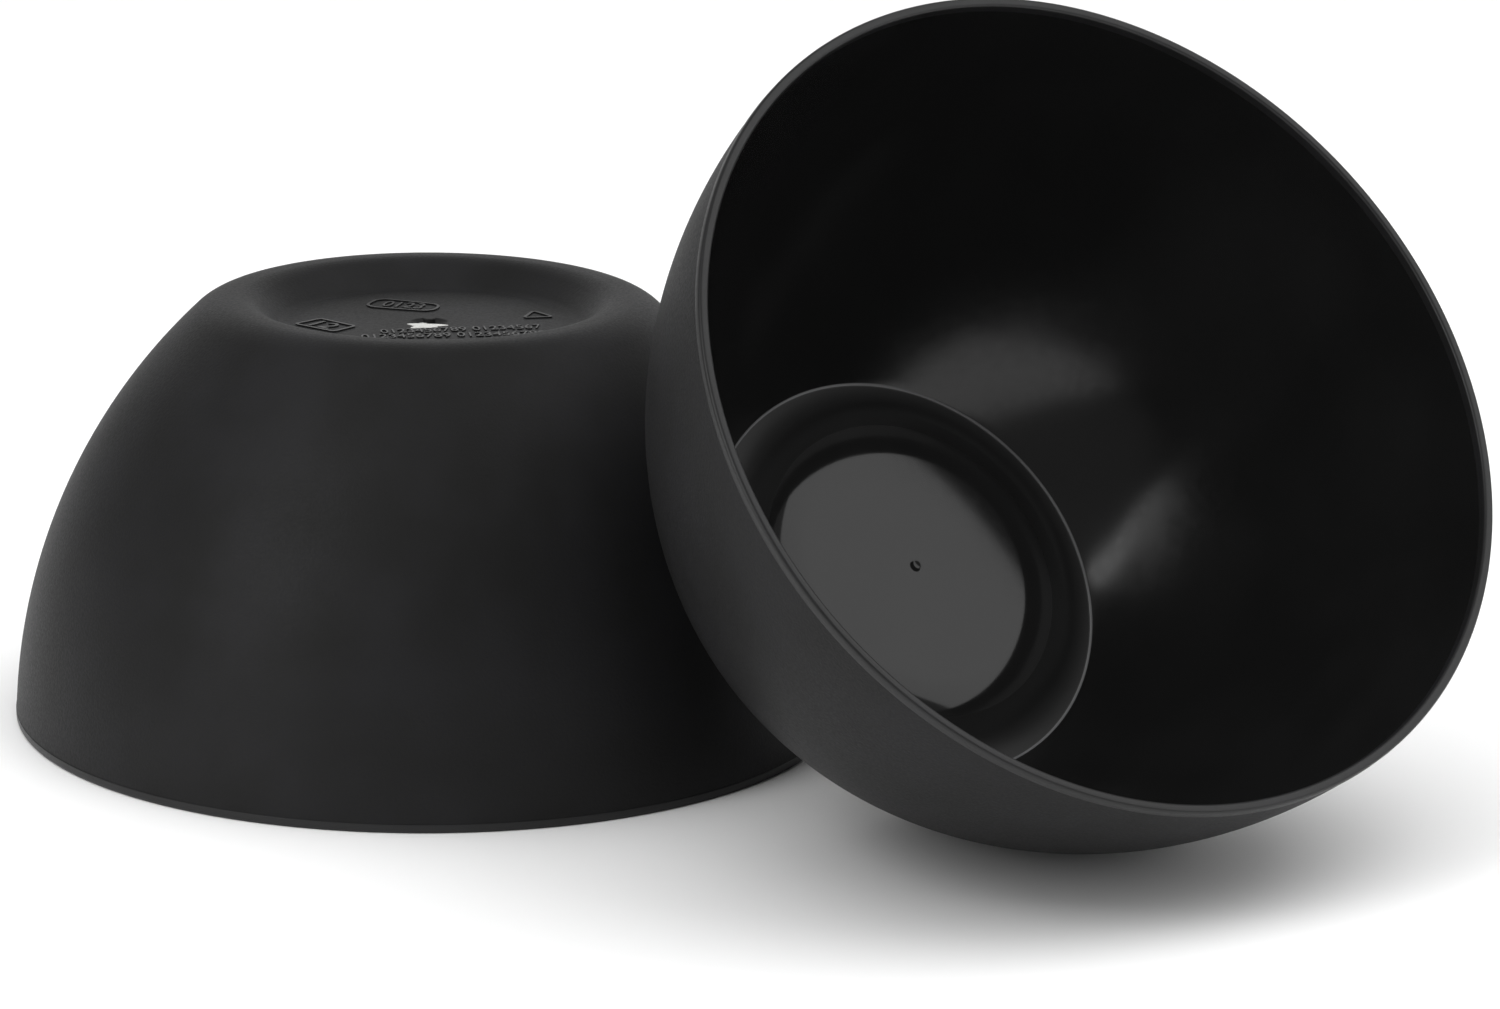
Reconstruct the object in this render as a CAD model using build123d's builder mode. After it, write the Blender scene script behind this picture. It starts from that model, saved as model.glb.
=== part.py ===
from build123d import *
import math
import os

# Two identical one-piece tint bowls. One stands upside down on its rim, and the other lies on its
# side against it with its mouth facing up and out.
# Millimetres, +Z up. The origin is on the table, under the middle of the pair's bounding box.

# Driving dimensions of one bowl. Depths are measured from the rim plane towards the foot.
rim_radius = 75.0            # outside of the rim band
rim_wall = 1.75              # wall thickness at the rim
rim_edge_radius = 0.6        # both edges of the rim are rounded
band_height = 1.6            # rim band, which stands 0.1 past the wall at the parting line
bowl_height = 76.6           # rim plane to foot
wall_arc_radius = 106.4      # outer wall, one arc in section
wall_arc_inset = 31.4        # its centre lies this far beyond the bowl's axis
wall_arc_rise = 2.9          # and this far above the rim plane
foot_radius = 35.5           # outer edge of the ring that the bowl stands on, 1 mm wide
panel_radius = 26.6          # where the panel inside the foot ring would meet the cone around it
crest_radius = 32.3          # where that cone would meet the foot ring's flat
cone_height = 4.8            # foot to panel, and inside floor to its raised middle
crest_rounding = 6.0
panel_rounding = 3.0
floor_thickness = 2.6        # panel to the raised middle, and foot to the floor around it
plateau_radius = 25.0        # where the raised middle would meet the cone around it
channel_radius = 34.0        # where that cone would meet the floor
plateau_rounding = 14.0
channel_rounding = 10.0
middle_wall = 2.2            # wall thickness half way down
middle_depth = 40.0          # depth at which that is measured
corner_radius = 37.6         # where the inside wall meets the floor channel
corner_fillet = 1.2
well_radius = 3.5            # shallow gate well in the middle of the panel
well_depth = 0.8
gate_radius = 1.1            # stub that the gate leaves in the well
gate_height = 1.6
dimple_radius = 1.0          # sink mark over the gate, in the middle of the inside floor
dimple_depth = 0.25
dish_middle = 0.75           # well and dimple: part of their depth that is reached half way

# Where the pair stands
pair_middle = (54.93, -30.32)       # from the upturned bowl's axis to the middle of the pair
lean_offset = (117.17, -79.14)      # from the upturned bowl's axis to the leaning bowl's rim centre
lean_tilt = 51.8                    # angle of the leaning bowl's mouth axis from upright
lean_heading = -56.8                # direction that its mouth faces, from +X

# Outer wall: the wall arc runs into a heel arc that ends on the foot ring, tangent to both.
arc_depth = bowl_height + wall_arc_rise
heel_radius = (wall_arc_radius**2 - (foot_radius + wall_arc_inset) ** 2 - arc_depth**2) / (
    2 * (wall_arc_radius - arc_depth)
)
heel_middle_depth = bowl_height - heel_radius
heel_angle = math.atan2(heel_middle_depth + wall_arc_rise, foot_radius + wall_arc_inset)


def on_wall(depth, inward=0.0):
    """Radius and depth of the point that lies `inward` under the outer wall arc at a depth."""
    angle = math.asin((depth + wall_arc_rise) / wall_arc_radius)
    radius = wall_arc_radius - inward
    return (radius * math.cos(angle) - wall_arc_inset, radius * math.sin(angle) - wall_arc_rise)


def on_heel(angle):
    """Radius and depth of the point on the heel arc at an angle from the rim plane."""
    return (foot_radius + heel_radius * math.cos(angle),
            heel_middle_depth + heel_radius * math.sin(angle))


band_foot = on_wall(band_height)
wall_middle = on_wall(middle_depth)
heel_start = on_heel(heel_angle)
heel_middle = on_heel((heel_angle + math.pi / 2) / 2)

panel_depth = bowl_height - cone_height
channel_depth = bowl_height - floor_thickness
plateau_depth = panel_depth - floor_thickness

# The contact height follows from the tilt: the wall arc's lowest point touches the table.
tilt = math.radians(lean_tilt)
heading = math.radians(lean_heading)
rim_centre_height = (wall_arc_radius - wall_arc_inset * math.sin(tilt)
                     - wall_arc_rise * math.cos(tilt))
mouth = Vector(math.sin(tilt) * math.cos(heading), math.sin(tilt) * math.sin(heading),
               math.cos(tilt))

# Each bowl is drawn on its own plane: origin in the middle of the rim, first direction outwards,
# second direction from the rim towards the foot.
upturned_origin = Vector(-pair_middle[0], -pair_middle[1], 0)
leaning_origin = upturned_origin + Vector(*lean_offset, rim_centre_height)
level = Vector(-math.sin(heading), math.cos(heading), 0)
sections = {
    "upturned_bowl": Plane(upturned_origin, x_dir=(1, 0, 0), z_dir=(0, -1, 0)),
    "leaning_bowl": Plane(leaning_origin, x_dir=level, z_dir=level.cross(-mouth)),
}

os.makedirs("parts", exist_ok=True)

for bowl_name, section_plane in sections.items():
    with BuildPart() as bowl:
        with BuildSketch(section_plane) as section:
            with BuildLine():
                # outside, from the rim to the foot
                Line((rim_radius - rim_wall, 0), (rim_radius, 0))
                Line((rim_radius, 0), (rim_radius, band_height))
                Line((rim_radius, band_height), band_foot)
                ThreePointArc(band_foot, wall_middle, heel_start)
                ThreePointArc(heel_start, heel_middle, (foot_radius, bowl_height))
                Line((foot_radius, bowl_height), (crest_radius, bowl_height))
                # underside: cone down to the panel, then the gate well and its stub
                Line((crest_radius, bowl_height), (panel_radius, panel_depth))
                Line((panel_radius, panel_depth), (well_radius, panel_depth))
                ThreePointArc(
                    (well_radius, panel_depth),
                    ((well_radius + gate_radius) / 2, panel_depth - dish_middle * well_depth),
                    (gate_radius, panel_depth - well_depth),
                )
                Line((gate_radius, panel_depth - well_depth),
                     (gate_radius, panel_depth - well_depth + gate_height))
                Line((gate_radius, panel_depth - well_depth + gate_height),
                     (0, panel_depth - well_depth + gate_height))
                Line((0, panel_depth - well_depth + gate_height), (0, plateau_depth + dimple_depth))
                # inside, from the middle of the floor up to the rim
                ThreePointArc(
                    (0, plateau_depth + dimple_depth),
                    (dimple_radius / 2, plateau_depth + dish_middle * dimple_depth),
                    (dimple_radius, plateau_depth),
                )
                Line((dimple_radius, plateau_depth), (plateau_radius, plateau_depth))
                Line((plateau_radius, plateau_depth), (channel_radius, channel_depth))
                Line((channel_radius, channel_depth), (corner_radius, channel_depth))
                ThreePointArc(
                    (corner_radius, channel_depth),
                    on_wall(middle_depth, middle_wall),
                    (rim_radius - rim_wall, 0),
                )
            make_face()
            for point, rounding in (
                ((crest_radius, bowl_height), crest_rounding),
                ((panel_radius, panel_depth), panel_rounding),
                ((plateau_radius, plateau_depth), plateau_rounding),
                ((channel_radius, channel_depth), channel_rounding),
                ((corner_radius, channel_depth), corner_fillet),
            ):
                fillet(section.vertices().sort_by_distance(point)[0], radius=rounding)
            rim_corners = section.vertices().group_by(Axis.Y)[0]
            fillet(rim_corners, radius=rim_edge_radius)
        revolve(axis=Axis(section_plane.origin, section_plane.y_dir))
    bowl.part.label = bowl_name
    export_step(bowl.part, f"parts/{bowl_name}.step")
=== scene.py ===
"""A pair of plain black tint bowls: one upside down on its rim, one leaning against it, mouth up.

Every length is in metres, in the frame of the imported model: +Z up, the table at Z = 0.
"""

import math

import bmesh
import bpy
import numpy as np
from mathutils import Matrix, Vector


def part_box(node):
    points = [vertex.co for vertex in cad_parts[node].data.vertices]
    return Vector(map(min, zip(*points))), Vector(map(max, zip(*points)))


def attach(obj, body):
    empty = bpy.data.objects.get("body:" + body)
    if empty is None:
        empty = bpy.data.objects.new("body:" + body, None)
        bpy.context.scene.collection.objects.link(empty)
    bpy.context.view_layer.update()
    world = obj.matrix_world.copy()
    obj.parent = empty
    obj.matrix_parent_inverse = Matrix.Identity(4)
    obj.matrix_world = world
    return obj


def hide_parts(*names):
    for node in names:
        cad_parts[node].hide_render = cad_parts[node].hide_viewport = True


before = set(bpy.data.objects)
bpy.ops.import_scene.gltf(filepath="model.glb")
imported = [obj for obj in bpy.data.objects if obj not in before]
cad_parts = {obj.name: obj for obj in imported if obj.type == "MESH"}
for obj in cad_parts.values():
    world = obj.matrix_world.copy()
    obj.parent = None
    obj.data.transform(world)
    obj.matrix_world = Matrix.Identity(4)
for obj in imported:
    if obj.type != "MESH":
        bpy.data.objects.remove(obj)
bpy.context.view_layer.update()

# ---------------------------------------------------------------------------------------------
# The bowl
# A one-piece tint bowl, taken to be injection-moulded polypropylene. The outside has the fine
# matte grain of a spark-eroded cavity, and the inside the gloss of a polished core.

mm = 0.001
upturned_low, upturned_high = (np.array(corner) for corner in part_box("upturned_bowl"))
rim_radius = (upturned_high[0] - upturned_low[0]) / 2
bowl_height = upturned_high[2] - upturned_low[2]

rim_wall = 1.75 * mm
rim_edge_radius = 0.6 * mm
band_height = 1.6 * mm
wall_arc_radius = 106.4 * mm
wall_arc_inset = 31.4 * mm
wall_arc_rise = 2.9 * mm
foot_radius = 35.5 * mm
panel_radius = 26.6 * mm
crest_radius = 32.3 * mm
cone_height = 4.8 * mm
crest_rounding = 6.0 * mm
panel_rounding = 3.0 * mm
floor_thickness = 2.6 * mm
plateau_radius = 25.0 * mm
channel_radius = 34.0 * mm
plateau_rounding = 14.0 * mm
channel_rounding = 10.0 * mm
middle_wall = 2.2 * mm
middle_depth = 40.0 * mm
corner_radius = 37.6 * mm
corner_fillet = 1.2 * mm
well_radius = 3.5 * mm
well_depth = 0.8 * mm
gate_radius = 1.1 * mm
gate_height = 1.6 * mm
gate_rounding = 0.2 * mm       # edge of the stub
band_rounding = 0.05 * mm      # edge of the rim band
dimple_radius = 1.0 * mm
dimple_depth = 0.25 * mm
dish_middle = 0.75             # well and dimple: part of their depth that is reached half way


def on_wall(depth, inward=0.0):
    """Point under the outer wall arc: the arc's circle made smaller by `inward`, at the angle
    where the outer circle reaches that depth."""
    angle = math.asin((depth + wall_arc_rise) / wall_arc_radius)
    radius = wall_arc_radius - inward
    return np.array([radius * math.cos(angle) - wall_arc_inset,
                     radius * math.sin(angle) - wall_arc_rise])


def arc(centre, radius, start, end, count):
    """Points on a circle from one angle to another, evenly spaced."""
    angle = np.linspace(start, end, count)
    return np.column_stack([centre[0] + radius * np.cos(angle), centre[1] + radius * np.sin(angle)])


def arc_through(first, middle, last, count):
    """Points on the circle through three points, from the first to the last. The centre is where
    the perpendicular bisectors of the two chords meet."""
    chords = np.array([middle - first, last - first])
    centre = np.linalg.solve(2 * chords,
                             [middle @ middle - first @ first, last @ last - first @ first])
    start, end = (math.atan2(*(point - centre)[::-1]) for point in (first, last))
    return arc(centre, math.dist(centre, first), start, end, count)


def line(first, last, count):
    """Points on a straight line, evenly spaced."""
    return np.linspace(first, last, count)


def rounded(before, corner, after, radius, count=7):
    """Points on the arc that rounds a corner: tangent to both sides at radius over the tangent of
    half the angle between them."""
    one = (before - corner) / math.dist(before, corner)
    two = (after - corner) / math.dist(after, corner)
    half = math.acos(one @ two) / 2
    bisector = (one + two) / np.linalg.norm(one + two)
    centre = corner + bisector * radius / math.sin(half)
    ends = [corner + side * radius / math.tan(half) - centre for side in (one, two)]
    turn = np.linspace(0, 1, count)[:, None]
    spread = math.pi - 2 * half
    mixed = np.sin((1 - turn) * spread) * ends[0] + np.sin(turn * spread) * ends[1]
    return centre + mixed / math.sin(spread)


arc_depth = bowl_height + wall_arc_rise
heel_radius = (wall_arc_radius**2 - (foot_radius + wall_arc_inset) ** 2 - arc_depth**2) / (
    2 * (wall_arc_radius - arc_depth)
)
heel_centre = np.array([foot_radius, bowl_height - heel_radius])
heel_angle = math.atan2(heel_centre[1] + wall_arc_rise, foot_radius + wall_arc_inset)
band_angle = math.asin((band_height + wall_arc_rise) / wall_arc_radius)
wall_centre = np.array([-wall_arc_inset, -wall_arc_rise])
panel_depth = bowl_height - cone_height
plateau_depth = panel_depth - floor_thickness
channel_depth = bowl_height - floor_thickness
quarter = math.pi / 2

# The outline of half the bowl as (radius, depth from the rim plane): from the middle of the
# underside, over the foot and the rim, to the middle of the inside floor. Flat stretches start and
# end a little inside the roundings beside them.
well_floor = panel_depth - well_depth
stub_top = well_floor + gate_height
gate = np.vstack([
    (0, stub_top),
    arc((gate_radius - gate_rounding, stub_top - gate_rounding), gate_rounding, quarter, 0, 5),
    (gate_radius, stub_top - 1.5 * gate_rounding),
    arc_through(np.array([gate_radius, well_floor]),
                np.array([(gate_radius + well_radius) / 2, panel_depth - dish_middle * well_depth]),
                np.array([well_radius, panel_depth]), 12),
])
crest = np.array([crest_radius, bowl_height])
panel_edge = np.array([panel_radius, panel_depth])
underside = np.vstack([
    line((well_radius + 0.3 * mm, panel_depth), (panel_radius - 1.5 * mm, panel_depth), 12),
    rounded(np.array([0, panel_depth]), panel_edge, crest, panel_rounding, 12),
    rounded(panel_edge, crest, np.array([foot_radius, bowl_height]), crest_rounding, 16),
])
heel = arc(heel_centre, heel_radius, quarter, heel_angle, 20)
wall = arc(wall_centre, wall_arc_radius, heel_angle, band_angle, 44)[1:]
band_low = np.array([rim_radius, band_height])
rim = np.vstack([
    rounded(wall[-1], band_low, np.array([rim_radius, 0]), band_rounding, 4),
    arc((rim_radius - rim_edge_radius, rim_edge_radius), rim_edge_radius, 0, -quarter, 8),
    arc((rim_radius - rim_wall + rim_edge_radius, rim_edge_radius), rim_edge_radius,
        -quarter, -2 * quarter, 8),
])
inner_wall = arc_through(np.array([rim_radius - rim_wall, 0]), on_wall(middle_depth, middle_wall),
                         np.array([corner_radius, channel_depth]), 48)
channel_edge = np.array([channel_radius, channel_depth])
plateau_edge = np.array([plateau_radius, plateau_depth])
corner = rounded(inner_wall[-2], inner_wall[-1], channel_edge, corner_fillet)
# The wall's points that lie in the roundings at its two ends are dropped.
depths = inner_wall[:, 1]
inner_wall = inner_wall[(depths > 1.2 * rim_edge_radius) & (depths < corner[0, 1])]
inner_ring = np.vstack([
    rounded(np.array([corner_radius, channel_depth]), channel_edge, plateau_edge,
            channel_rounding, 10),
    line(channel_edge + 0.3 * (plateau_edge - channel_edge),
         channel_edge + 0.6 * (plateau_edge - channel_edge), 3),
])
plateau = np.vstack([
    rounded(channel_edge, plateau_edge, np.array([0, plateau_depth]), plateau_rounding, 32),
    line((plateau_radius - 4 * mm, plateau_depth), (dimple_radius * 1.4, plateau_depth), 8),
    arc_through(np.array([dimple_radius, plateau_depth]),
                np.array([dimple_radius / 2, plateau_depth + dish_middle * dimple_depth]),
                np.array([0, plateau_depth + dimple_depth]), 8),
])
# Each stretch has the number of its finish.
# Finish 5, on the rounding of the inside corner, is a pale line: a painted highlight.
stretches = [(0, gate), (0, underside), (0, heel), (0, wall), (1, rim), (2, inner_wall),
             (2, corner[:1]), (5, corner[1:4]), (3, corner[4:]), (3, inner_ring), (4, plateau)]
outline = np.vstack([points for _, points in stretches])
finish = np.concatenate([np.full(len(points), kind) for kind, points in stretches])


def carried_round(name, rim_centre, to_foot, across, turns=360):
    """Closed surface of the outline turned about the bowl's axis: the point (r, d) at angle a goes
    to rim_centre + d * to_foot + r * (cos a * across + sin a * (to_foot x across))."""
    angle = np.arange(turns) * 2 * math.pi / turns
    spoke = np.outer(np.cos(angle), across) + np.outer(np.sin(angle), np.cross(to_foot, across))
    ring_points = outline[1:-1]
    grid = (rim_centre + ring_points[:, None, 1:] * to_foot + ring_points[:, None, :1] * spoke)
    poles = rim_centre + outline[[0, -1], 1][:, None] * to_foot
    points = np.vstack([grid.reshape(-1, 3), poles])
    rings = len(ring_points)
    start = (np.arange(rings - 1) * turns)[:, None] + np.arange(turns)
    after = (np.arange(rings - 1) * turns)[:, None] + (np.arange(turns) + 1) % turns
    quads = np.stack([start, start + turns, after + turns, after], axis=-1).reshape(-1, 4)
    first, last = np.arange(turns), (rings - 1) * turns + np.arange(turns)
    first_next, last_next = np.roll(first, -1), np.roll(last, -1)
    under = np.column_stack([np.full(turns, rings * turns), first, first_next])
    inside = np.column_stack([last, np.full(turns, rings * turns + 1), last_next])
    mesh = bpy.data.meshes.new(name)
    mesh.from_pydata(points.tolist(), [], quads.tolist() + under.tolist() + inside.tolist())
    kinds = np.concatenate([np.repeat(finish[1:-2], turns), np.full(turns, finish[0]),
                            np.full(turns, finish[-1])])
    mesh.polygons.foreach_set("material_index", kinds.astype(np.int32))
    mesh.shade_smooth()
    mesh.set_sharp_from_angle(angle=math.radians(40))
    piece = bpy.data.objects.new(name, mesh)
    bpy.context.collection.objects.link(piece)
    return piece


def linear(hex_value):
    """sRGB hex to linear RGBA: each channel c goes to ((c + 0.055) / 1.055) to the power 2.4."""
    channels = [int(hex_value[i:i + 2], 16) / 255 for i in (1, 3, 5)]
    return [((c + 0.055) / 1.055) ** 2.4 if c > 0.04045 else c / 12.92 for c in channels] + [1]


def add_node(material, kind, **inputs):
    """Adds a shader node. An input's value is a number, or another node's output to link to it."""
    made = material.node_tree.nodes.new("ShaderNode" + kind)
    for key, value in inputs.items():
        socket = made.inputs[key.replace("_", " ")]
        if isinstance(value, bpy.types.NodeSocket):
            material.node_tree.links.new(value, socket)
        else:
            socket.default_value = value
    return made


colour_drift = 18 * mm
shrinkage_wave = 22 * mm


def moulded(name, dark, light, smooth, rough, shine, grain, grain_height, wave_height):
    """Black polypropylene, with the finish that the tool steel left on it.

    The colour drifts between two near blacks, as masterbatch never mixes quite evenly. The
    roughness goes from `smooth` to `rough` over the surface's pits, whose size is `grain` and whose
    depth is grain_height. wave_height is the slow shrinkage ripple of a thin moulded wall. The IOR
    is polypropylene's, and `shine` scales its mirror reflection, which 0.5 leaves as it is."""
    material = bpy.data.materials.new(name)
    material.use_nodes = True
    material.node_tree.nodes.clear()
    place = add_node(material, "TexCoord").outputs["Object"]
    drift = add_node(material, "TexNoise", Vector=place, Scale=1 / colour_drift, Detail=3.0)
    pits = add_node(material, "TexNoise", Vector=place, Scale=1 / grain, Detail=2.0, Roughness=0.6)
    ripple = add_node(material, "TexNoise", Vector=place, Scale=1 / shrinkage_wave, Detail=1.0)
    colour = add_node(material, "ValToRGB", Fac=drift.outputs["Fac"])
    colour.color_ramp.elements[0].position = 0.35
    colour.color_ramp.elements[0].color = linear(dark)
    colour.color_ramp.elements[1].position = 0.65
    colour.color_ramp.elements[1].color = linear(light)
    gloss = add_node(material, "MapRange", Value=pits.outputs["Fac"])
    gloss.inputs["From Min"].default_value = 0.3
    gloss.inputs["From Max"].default_value = 0.7
    gloss.inputs["To Min"].default_value = smooth
    gloss.inputs["To Max"].default_value = rough
    waves = add_node(material, "Bump", Height=ripple.outputs["Fac"], Distance=wave_height)
    surface = add_node(material, "Bump", Height=pits.outputs["Fac"], Distance=grain_height,
                       Normal=waves.outputs["Normal"])
    shader = add_node(material, "BsdfPrincipled", Roughness=gloss.outputs["Result"], IOR=1.49,
                      Normal=surface.outputs["Normal"])
    shader.inputs["Specular IOR Level"].default_value = shine
    material.node_tree.links.new(colour.outputs["Color"], shader.inputs["Base Color"])
    add_node(material, "OutputMaterial", Surface=shader.outputs["BSDF"])
    return material


# Spark-eroded polypropylene has a dull, even sheen with a fine grain. Pits of this kind are about
# 0.1 mm. They are drawn at 0.5 mm, so that they show.
outside_finish = moulded("polypropylene_spark_eroded", "#171717", "#1c1c1d", 0.46, 0.58, 0.17,
                         0.5 * mm, 0.05 * mm, 0.04 * mm)
# Rim edge, smoother than the outside, as a stoned parting line leaves it: it catches a soft line.
rim_finish = moulded("polypropylene_rim_edge", "#181818", "#1c1c1d", 0.34, 0.44, 0.38,
                     0.6 * mm, 0.006 * mm, 0.01 * mm)
# Inner wall, as a polished core leaves it: it shows the lights as soft patches.
wall_finish = moulded("polypropylene_core_wall", "#131313", "#161616", 0.15, 0.19, 0.43,
                      1.5 * mm, 0, 0.3 * mm)
# Cone round the floor's middle, duller than the wall, as a core left as turned would make it.
ring_finish = moulded("polypropylene_core_turned", "#141414", "#171717", 0.34, 0.40, 0.30,
                      0.3 * mm, 0.001 * mm, 0.02 * mm)
# Middle of the floor, as a core polished flat leaves it: it mirrors a light with a sharp edge.
floor_finish = moulded("polypropylene_core_polished", "#161616", "#191919", 0.08, 0.10, 0.43,
                       1.5 * mm, 0, 0.04 * mm)
# A paler line in the inside corner: a painted highlight, the bright line that the rounded corner
# would mirror.
corner_highlight_finish = moulded("polypropylene_painted_corner_highlight", "#505051", "#5c5c5d", 0.28, 0.36, 0.5,
                      0.6 * mm, 0, 0)

# How the leaning bowl lies: the middle of its rim, and the direction that its mouth faces.
lean_tilt = math.radians(51.8)
lean_heading = math.radians(-56.8)
lean_offset = np.array([117.17, -79.14, 0]) * mm
mouth = np.array([math.sin(lean_tilt) * math.cos(lean_heading),
                  math.sin(lean_tilt) * math.sin(lean_heading), math.cos(lean_tilt)])
rim_centre_height = (wall_arc_radius - wall_arc_inset * math.sin(lean_tilt)
                     - wall_arc_rise * math.cos(lean_tilt))
upturned_rim = np.array([*((upturned_low + upturned_high) / 2)[:2], 0])
leaning_rim = upturned_rim + lean_offset + [0, 0, rim_centre_height]
level = np.array([-math.sin(lean_heading), math.cos(lean_heading), 0])

# In the order of the outline's finish numbers.
finishes = (outside_finish, rim_finish, wall_finish, ring_finish, floor_finish, corner_highlight_finish)
bowls = (("upturned", upturned_rim, np.array([0, 0, 1.0]), np.array([1.0, 0, 0])),
         ("leaning", leaning_rim, -mouth, level))
for body, rim_centre, to_foot, across in bowls:
    shell = carried_round(body + "_bowl_shell", rim_centre, to_foot, across)
    for material in finishes:
        shell.data.materials.append(material)
    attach(shell, body)
    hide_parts(body + "_bowl")

# ---------------------------------------------------------------------------------------------
# Moulded marks and a painted highlight at the gate
# The panel inside the foot ring carries raised marks of the cavity plate, as plain frames and rows
# of digits. In front of the gate's stub, a pale patch is a painted highlight of the light glinting
# off the gate.

mark_height = 0.25 * mm
mark_line = 0.55 * mm
sunk = 0.05 * mm               # how far each mark's bottom lies under the panel
# Middle, reach and height of the pale patch at the gate, which is a painted highlight.
highlight_middle = np.array([-0.6, -2.7]) * mm
highlight_reach = np.array([3.0, 1.9]) * mm
highlight_height = 0.3 * mm


def outline_mark(name, corners, rounding):
    """A raised line along a closed polygon with rounded corners: each corner becomes an arc, once
    for the line's outer edge and once, moved towards the middle, for its inner edge."""
    corners = np.array(corners) * mm
    before, after = np.roll(corners, 1, axis=0), np.roll(corners, -1, axis=0)
    loop = np.vstack([rounded(*ends, rounding * mm, 9) for ends in zip(before, corners, after)])
    ahead = np.roll(loop, -1, axis=0) - np.roll(loop, 1, axis=0)
    inward = np.column_stack([-ahead[:, 1], ahead[:, 0]])
    inward /= np.linalg.norm(inward, axis=1)[:, None]
    inner = loop + inward * mark_line
    count = len(loop)
    points = [np.column_stack([edge, np.full(count, height)]) for edge, height in
              ((loop, -sunk), (loop, mark_height), (inner, mark_height), (inner, -sunk))]
    here = np.arange(count)
    ring, around = np.arange(4)[:, None] * count, (here + 1) % count
    next_ring = np.roll(ring, -1, axis=0)
    faces = np.stack([ring + here, ring + around, next_ring + around, next_ring + here], axis=-1)
    mesh = bpy.data.meshes.new(name)
    mesh.from_pydata(np.vstack(points).tolist(), [], faces.reshape(-1, 4).tolist())
    return mesh


def digit_mark(name, digits, width, height, middle, turn):
    """A row of raised digits with closed sides: each point is stretched from the row's own box to
    the given width, height and thickness, then turned about the row's middle."""
    curve = bpy.data.curves.new(name, "FONT")
    curve.body = digits
    curve.extrude = 0.5
    made = bpy.data.objects.new(name, curve)
    mesh = bpy.data.meshes.new_from_object(made)
    mesh.name = name
    welded = bmesh.new()
    welded.from_mesh(mesh)
    bmesh.ops.remove_doubles(welded, verts=welded.verts, dist=0.0001)
    welded.to_mesh(mesh)
    welded.free()
    points = np.empty(len(mesh.vertices) * 3)
    mesh.vertices.foreach_get("co", points)
    low, high = points.reshape(-1, 3).min(axis=0), points.reshape(-1, 3).max(axis=0)
    flat = (points.reshape(-1, 3) - (low + high) / 2) / (high - low)
    thick = mark_height + sunk
    flat = flat * [width * mm, height * mm, thick] + [0, 0, thick / 2 - sunk]
    turn = math.radians(turn)
    turned = flat @ np.array([[math.cos(turn), math.sin(turn), 0],
                              [-math.sin(turn), math.cos(turn), 0], [0, 0, 1]])
    mesh.vertices.foreach_set("co", (turned + [middle[0] * mm, middle[1] * mm, 0]).ravel())
    bpy.data.objects.remove(made)
    bpy.data.curves.remove(curve)
    return mesh


# The pale patch in front of the gate's stub, coloured as a painted highlight.
def gate_highlight_patch(name):
    """Low uneven dome: radius 1 + 0.2 sin(3a + 1) + 0.16 sin(5a) + 0.1 sin(8a) round an ellipse,
    height falling as 1 - t squared from its middle, and a flat bottom sunk in the panel."""
    turns, rings = 64, 7
    angle = np.arange(turns) * 2 * math.pi / turns
    reach = (1 + 0.2 * np.sin(3 * angle + 1) + 0.16 * np.sin(5 * angle)
             + 0.1 * np.sin(8 * angle))
    out = np.linspace(1, 0.12, rings)[:, None]
    top = np.stack([highlight_middle[0] + highlight_reach[0] * out * reach * np.cos(angle),
                    highlight_middle[1] + highlight_reach[1] * out * reach * np.sin(angle),
                    highlight_height * (1 - out**2) + 0 * angle], axis=-1)
    base = top[:1] * [1, 1, 0] - [0, 0, 4 * sunk]
    points = np.vstack([base.reshape(-1, 3), top.reshape(-1, 3)])
    here, around = np.arange(turns), (np.arange(turns) + 1) % turns
    ring = np.arange(rings)[:, None] * turns
    above = ring + turns
    sides = np.stack([ring + here, ring + around, above + around, above + here], axis=-1)
    mesh = bpy.data.meshes.new(name)
    caps = [here[::-1].tolist(), (rings * turns + here).tolist()]
    mesh.from_pydata(points.tolist(), [], sides.reshape(-1, 4).tolist() + caps)
    mesh.shade_smooth()
    return mesh


marks = (
    outline_mark("frame", ((-24.2, -3.6), (-16.4, -9.4), (-12.6, -4.6), (-19.6, 1.2)), 0.9),
    digit_mark("frame_digits", "12", 4.6, 4.2, (-18.3, -4.2), -38),
    outline_mark("oval", ((-13.0, 11.0), (0.4, 7.6), (1.6, 13.6), (-10.4, 18.2)), 2.6),
    digit_mark("oval_digits", "0123", 7.6, 4.0, (-5.4, 12.7), -16),
    outline_mark("triangle", ((16.4, 3.6), (22.6, 4.8), (18.2, 10.0)), 0.8),
    digit_mark("upper_digits", "0123456789 01234567", 29.0, 2.9, (6.0, -5.6), 12),
    digit_mark("lower_digits", "0123456789 0123456789", 33.0, 2.9, (5.0, -10.2), 9),
    gate_highlight_patch("gate_painted_highlight"),
)
# Raised marks, smoother and darker than the panel, as cutter-engraved steel leaves them.
mark_finish = moulded("polypropylene_mark", "#101010", "#131313", 0.28, 0.36, 0.3,
                      0.6 * mm, 0.004 * mm, 0)
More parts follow.
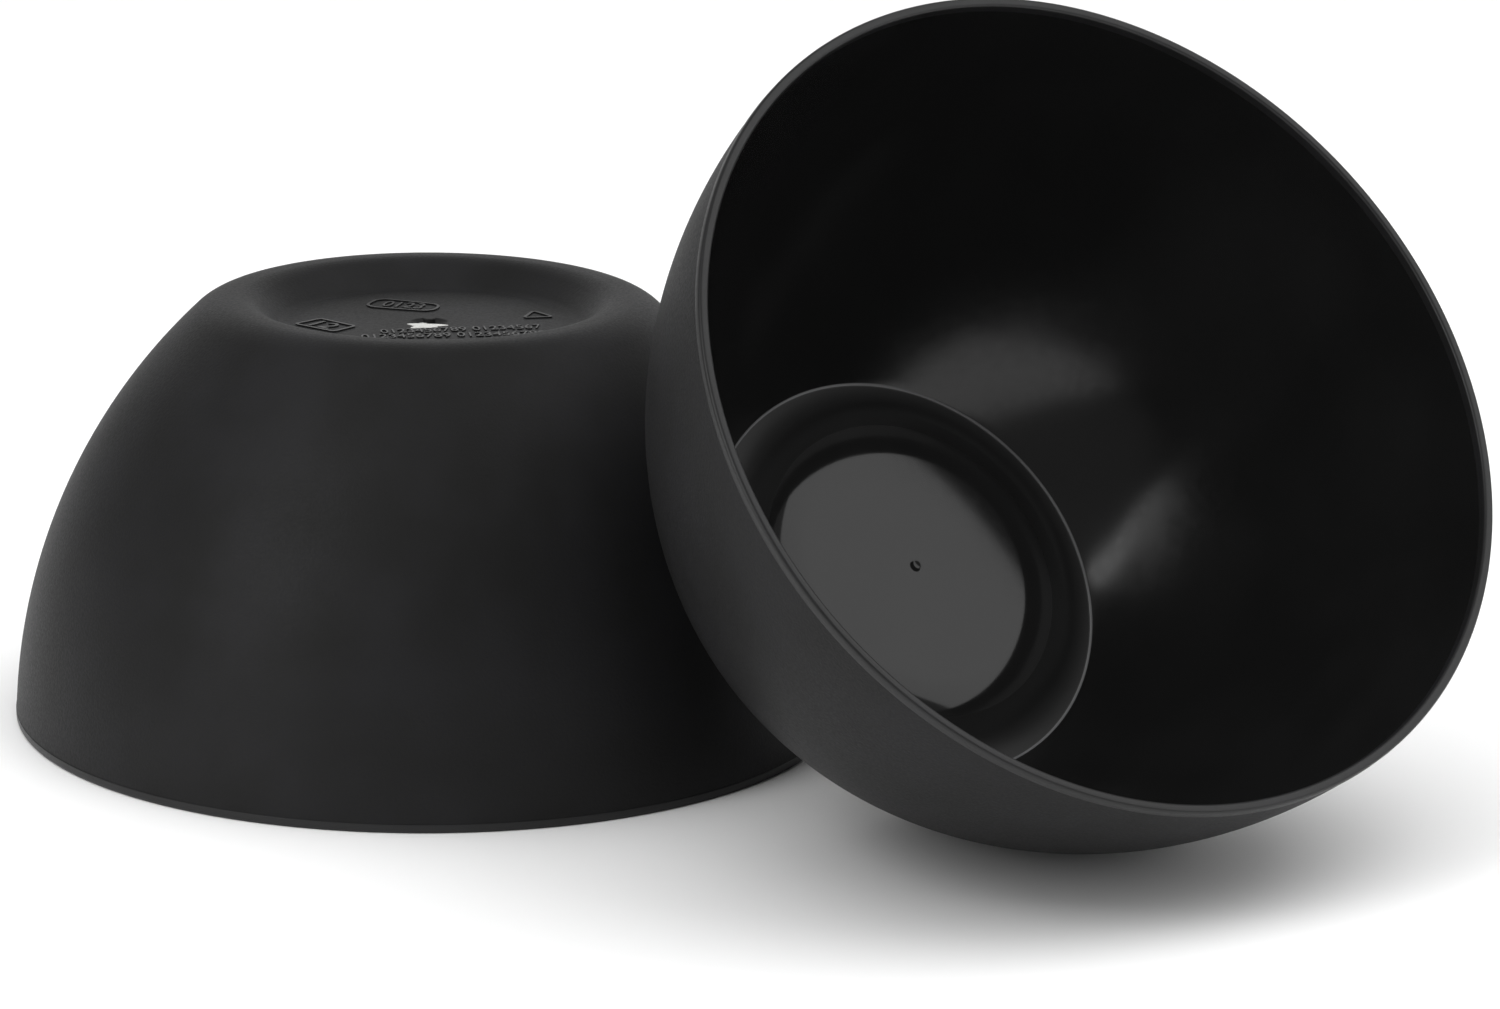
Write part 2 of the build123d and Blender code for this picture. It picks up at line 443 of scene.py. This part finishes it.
# Pale patch in front of the gate's stub: a painted highlight, the light's glint off the gate's
# uneven surface.
gate_highlight_finish = moulded("polypropylene_stress_white", "#b9b9b6", "#f2f2f0", 0.25, 0.40, 0.5,
                      0.5 * mm, 0.05 * mm, 0)
for body, rim_centre, to_foot, across in bowls:
    panel_frame = Matrix.Identity(4)
    for column, direction in enumerate((across, np.cross(to_foot, across), to_foot)):
        for row in range(3):
            panel_frame[row][column] = direction[row]
    panel_frame.translation = Vector(rim_centre + panel_depth * to_foot)
    for mark in marks:
        mesh = mark.copy()
        mesh.transform(panel_frame)
        piece = bpy.data.objects.new(f"{body}_{mark.name}", mesh)
        bpy.context.collection.objects.link(piece)
        mesh.materials.append(gate_highlight_finish if mark.name.startswith("gate") else mark_finish)
        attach(piece, body)
for mark in marks:
    bpy.data.meshes.remove(mark)

# ---------------------------------------------------------------------------------------------
# The studio
# A white table top that runs on out of sight, four soft lights, a dim white surround, and one
# camera in front of the pair, 0.3 m above the table.

half_table = 6.0
table_mesh = bpy.data.meshes.new("table")
table_mesh.from_pydata([(x * half_table, y * half_table, 0) for x, y in
                        ((-1, -1), (1, -1), (1, 1), (-1, 1))], [], [(0, 1, 2, 3)])
table = bpy.data.objects.new("table", table_mesh)
bpy.context.collection.objects.link(table)
# Sanded white acrylic sheet: a flat pale field with hardly any reflection.
table_finish = bpy.data.materials.new("matt_white_acrylic")
table_finish.use_nodes = True
table_shader = table_finish.node_tree.nodes["Principled BSDF"]
table_shader.inputs["Base Color"].default_value = linear("#f4f4f4")
table_shader.inputs["Roughness"].default_value = 0.6
table_shader.inputs["Specular IOR Level"].default_value = 0.2
table_mesh.materials.append(table_finish)


def soft_light(name, place, target, width, height, power):
    """A rectangular area light that faces a target: its -Z axis along target minus place."""
    lamp = bpy.data.lights.new(name, "AREA")
    lamp.shape = "RECTANGLE"
    lamp.size = width
    lamp.size_y = height
    lamp.energy = power
    light = bpy.data.objects.new(name, lamp)
    light.location = place
    light.rotation_euler = (Vector(target) - Vector(place)).to_track_quat("-Z", "Y").to_euler()
    bpy.context.collection.objects.link(light)
    return light


def from_pair(azimuth, elevation, distance):
    """Point at a distance from the origin: azimuth in degrees from +X, elevation from the table."""
    azimuth, elevation = math.radians(azimuth), math.radians(elevation)
    return distance * np.array([math.cos(elevation) * math.cos(azimuth),
                                math.cos(elevation) * math.sin(azimuth), math.sin(elevation)])


pair_middle = np.array([0.02, 0, 0.05])
soft_light("right_softbox", from_pair(-7, 42, 1.2), pair_middle, 1.02, 1.62, 7.0)
soft_light("front_left_softbox", from_pair(-141, 32, 1.4), pair_middle, 0.64, 1.2, 6.5)
soft_light("back_softbox", from_pair(92, 20, 2.2), pair_middle, 3.0, 1.2, 7.5)
# The overhead panel lights the table. It leaves no reflection, as if flagged off the bowls.
top_softbox = soft_light("top_softbox", (0, -0.1, 1.5), pair_middle, 2.9, 2.7, 38.5)
top_softbox.visible_glossy = False

world = bpy.data.worlds.new("studio")
bpy.context.scene.world = world
world.use_nodes = True
world.node_tree.nodes["Background"].inputs["Color"].default_value = linear("#ffffff")
world.node_tree.nodes["Background"].inputs["Strength"].default_value = 0.25

camera_data = bpy.data.cameras.new("camera")
camera_data.sensor_width = 36.0
camera_data.lens = 132.67
camera_data.clip_end = 50
camera = bpy.data.objects.new("camera", camera_data)
pitch, roll = math.radians(14.98), math.radians(0.84)
camera.location = upturned_rim + np.array([58.1, -967.7, 297.7]) * mm
camera.rotation_euler = (Matrix.Rotation(quarter - pitch, 3, "X")
                         @ Matrix.Rotation(roll, 3, "Z")).to_euler()
bpy.context.collection.objects.link(camera)
bpy.context.scene.camera = camera
bpy.context.scene.view_settings.view_transform = "Standard"
